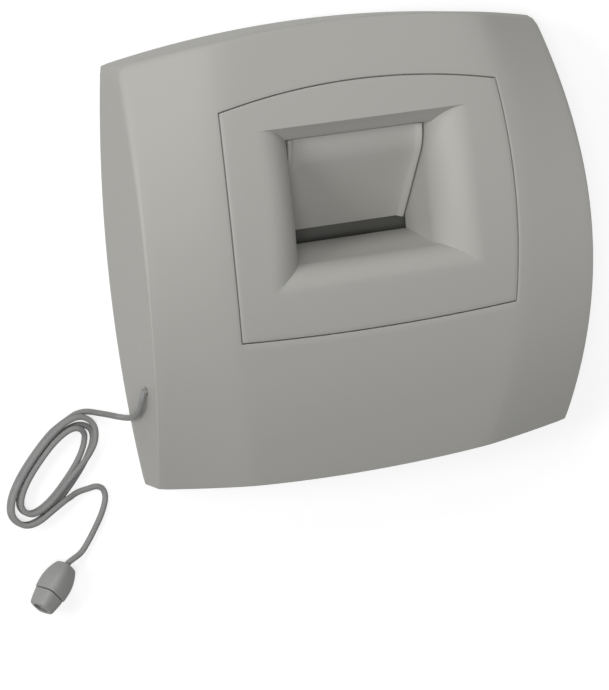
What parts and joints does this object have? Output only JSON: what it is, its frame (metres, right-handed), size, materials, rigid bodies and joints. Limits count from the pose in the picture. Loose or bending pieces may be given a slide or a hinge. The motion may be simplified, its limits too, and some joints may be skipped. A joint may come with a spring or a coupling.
{
  "type": "pull cord air extract terminal",
  "caption": "Domed square wall air terminal in matte grey plastic with a deep inlet recess, a damper flap and a coiled pull cord with a knob that opens the damper.",
  "frame": {"origin": "midway between the corners of the casing, on the surface that the terminal lies on", "axes": "+Z out of the wall, +Y to the terminal's top, +X to its right as seen from the front"},
  "size_m": [0.2393, 0.214, 0.047],
  "materials": {
    "casing": "fine satin",
    "inner": "matte",
    "foam": "closed cell foam",
    "steel": "bright",
    "zinc_sheet": "zinc plated",
    "brass": "turned",
    "nylon": "moulded",
    "cord": "braided",
    "knob": "satin"
  },
  "bodies": {
    "housing": {"front_cover": "casing", "grille_insert": "casing", "back_plate": "inner", "wall_gasket": "foam", "cover_screw_1": "steel", "cover_screw_2": "steel", "cover_screw_3": "steel", "cover_screw_4": "steel", "air_box": "inner", "cord_bush": "casing", "flap_bush_left": "nylon", "flap_bush_right": "nylon", "carriage_track": "inner", "timer_base": "zinc_sheet", "timer_bridge": "zinc_sheet", "timer_pillar_1": "brass", "timer_pillar_2": "brass", "timer_pillar_3": "brass", "bridge_screw_1": "steel", "bridge_screw_2": "steel", "bridge_screw_3": "steel", "spring_post": "steel", "return_spring": "steel"},
    "damper": {"damper_flap": "casing", "flap_axle": "steel", "axle_collar": "nylon", "flap_crank": "nylon"},
    "pull": {"pull_carriage": "nylon", "carriage_knot": "cord", "cord_lead": "cord", "cord_coil": "cord", "cord_tail": "cord", "knob_body": "knob", "knob_cap": "knob", "knob_knot": "cord"},
    "timer": {"timer_arbor": "steel", "timer_wheel": "nylon", "timer_pinion": "nylon"},
    "governor": {"governor_arbor": "steel", "governor_pinion": "nylon", "governor_drum": "brass"}
  },
  "joints": [
    {"name": "cord_pull", "type": "slide", "parent": "housing", "child": "pull", "axis": [-1, 0, 0], "range_m": [0, 0.02], "stiffness_N_per_m": 150, "deforming": ["return_spring"]},
    {"name": "flap_hinge", "type": "hinge", "parent": "housing", "child": "damper", "pos_m": [0, 0.044, 0.0288], "axis": [1, 0, 0], "range_deg": [0, 10]},
    {"name": "timer_spin", "type": "hinge", "parent": "housing", "child": "timer", "pos_m": [-0.045, -0.065, 0.0054], "axis": [0, 0, 1], "range_deg": [0, 191]},
    {"name": "governor_spin", "type": "hinge", "parent": "housing", "child": "governor", "pos_m": [-0.02996, -0.07047, 0.0054], "axis": [0, 0, 1], "range_deg": [-573, 0]}
  ],
  "couplings": [
    {"joint": "flap_hinge", "follows": "cord_pull", "rad_per_m": 8.7266},
    {"joint": "timer_spin", "follows": "cord_pull", "rad_per_m": 166.67},
    {"joint": "governor_spin", "follows": "cord_pull", "rad_per_m": -500}
  ]
}
